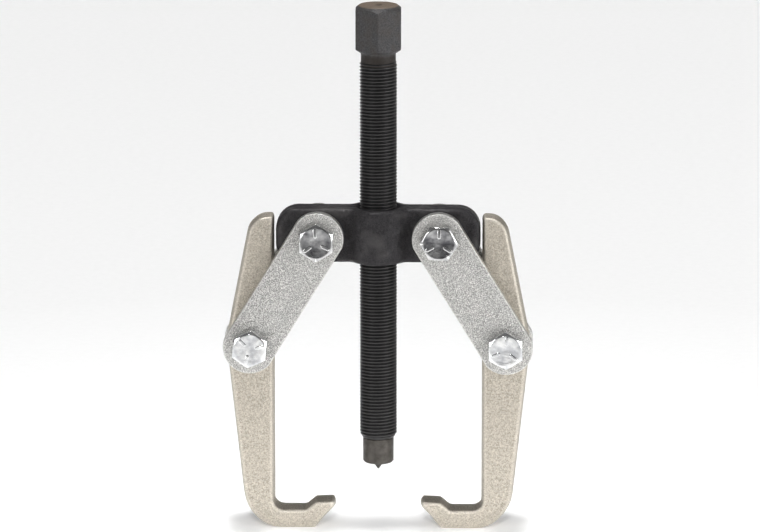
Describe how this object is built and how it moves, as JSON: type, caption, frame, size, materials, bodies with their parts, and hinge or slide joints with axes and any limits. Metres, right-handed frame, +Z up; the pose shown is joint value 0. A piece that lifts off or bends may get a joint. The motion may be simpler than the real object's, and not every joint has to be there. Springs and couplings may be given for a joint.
{
  "type": "two-jaw gear puller",
  "caption": "Two-jaw screw puller: a forcing screw runs through a crossbar and two hook jaws hang from it on pairs of pivoting straps.",
  "frame": {"origin": "on the forcing screw's axis, at the level of the hook bottoms", "axes": "+Z up along the forcing screw, towards its hex head; +Y from the bolt heads towards the lock nuts; +X from the left jaw to the right jaw"},
  "size_m": [0.1318, 0.0376, 0.2265],
  "materials": {
    "black_forging": "satin black oxide over a forged surface",
    "black_oxide_steel": "oiled black oxide on turned steel",
    "bare_steel": "hardened and tempered steel, brownish grey",
    "spring_steel": "bright spring wire",
    "zinc_plate": "grainy matt zinc plate",
    "nickel_forging": "matt nickel plate over a shot-blasted forging",
    "zinc_fastener": "bright zinc plate",
    "nylon": "natural nylon"
  },
  "bodies": {
    "crossbar": {"crossbar": "black_forging", "bolt_upper_left": "zinc_fastener", "nut_upper_left": "zinc_fastener", "insert_upper_left": "nylon", "bolt_upper_right": "zinc_fastener", "nut_upper_right": "zinc_fastener", "insert_upper_right": "nylon"},
    "screw_point": {"screw_point": "bare_steel", "point_clip": "spring_steel"},
    "forcing_screw": {"forcing_screw": "black_oxide_steel"},
    "left_link": {"strap_left_front": "zinc_plate", "strap_left_rear": "zinc_plate", "bolt_lower_left": "zinc_fastener", "nut_lower_left": "zinc_fastener", "insert_lower_left": "nylon"},
    "right_link": {"strap_right_front": "zinc_plate", "strap_right_rear": "zinc_plate", "bolt_lower_right": "zinc_fastener", "nut_lower_right": "zinc_fastener", "insert_lower_right": "nylon"},
    "left_jaw": {"jaw_left": "nickel_forging"},
    "right_jaw": {"jaw_right": "nickel_forging"}
  },
  "joints": [
    {"name": "screw_feed", "type": "slide", "parent": "crossbar", "child": "screw_point", "axis": [0, 0, 1], "range_m": [-0.06491, 0.07337]},
    {"name": "screw_turn", "type": "hinge", "parent": "screw_point", "child": "forcing_screw", "pos_m": [0, 0, 0.12], "axis": [0, 0, 1], "range_deg": [-16560, 18720]},
    {"name": "left_link_pivot", "type": "hinge", "parent": "crossbar", "child": "left_link", "pos_m": [-0.026, 0, 0.127], "axis": [0, -1, 0], "range_deg": [-90, 8]},
    {"name": "right_link_pivot", "type": "hinge", "parent": "crossbar", "child": "right_link", "pos_m": [0.026, 0, 0.127], "axis": [0, 1, 0], "range_deg": [-90, 8]},
    {"name": "left_jaw_pivot", "type": "hinge", "parent": "left_link", "child": "left_jaw", "pos_m": [-0.0543, 0, 0.0807], "axis": [0, 1, 0], "range_deg": [-12, 0]},
    {"name": "right_jaw_pivot", "type": "hinge", "parent": "right_link", "child": "right_jaw", "pos_m": [0.0543, 0, 0.0807], "axis": [0, -1, 0], "range_deg": [-12, 0]}
  ],
  "couplings": [
    {"joint": "screw_turn", "follows": "screw_feed", "rad_per_m": 4452.7}
  ]
}
